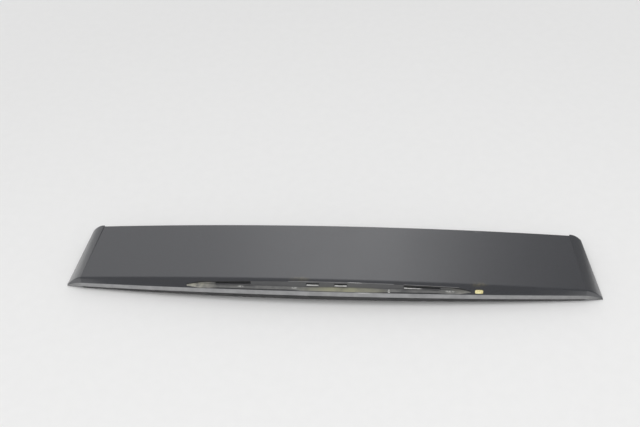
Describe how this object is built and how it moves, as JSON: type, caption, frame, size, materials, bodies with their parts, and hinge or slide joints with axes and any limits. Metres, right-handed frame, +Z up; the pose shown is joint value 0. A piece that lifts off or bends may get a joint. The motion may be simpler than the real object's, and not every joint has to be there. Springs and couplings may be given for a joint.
{
  "type": "tailgate spoiler",
  "caption": "Arched tailgate spoiler: painted skin with an empty brake lamp recess, end wings and a black inner shell with fixing studs.",
  "frame": {"origin": "on the table under the middle of the part's box", "axes": "+X along the span, +Y forward on the car, away from the trailing lip, +Z up"},
  "size_m": [1.18, 0.1958, 0.0739],
  "materials": {
    "skin_paint": "dark grey metallic paint under gloss clear coat",
    "shell_plastic": "fine grained black moulding",
    "stud_steel": "zinc plated steel",
    "foam": "closed cell foam"
  },
  "bodies": {
    "root": {"upper_skin": "skin_paint", "lower_shell": "shell_plastic", "mounting_studs": "stud_steel", "foam_washer_left_inner": "foam", "foam_washer_right_inner": "foam", "foam_washer_left_middle": "foam", "foam_washer_right_middle": "foam", "foam_washer_left_outer": "foam", "foam_washer_right_outer": "foam", "front_seal": "foam", "end_pad_left": "foam", "end_pad_right": "foam"}
  },
  "joints": []
}
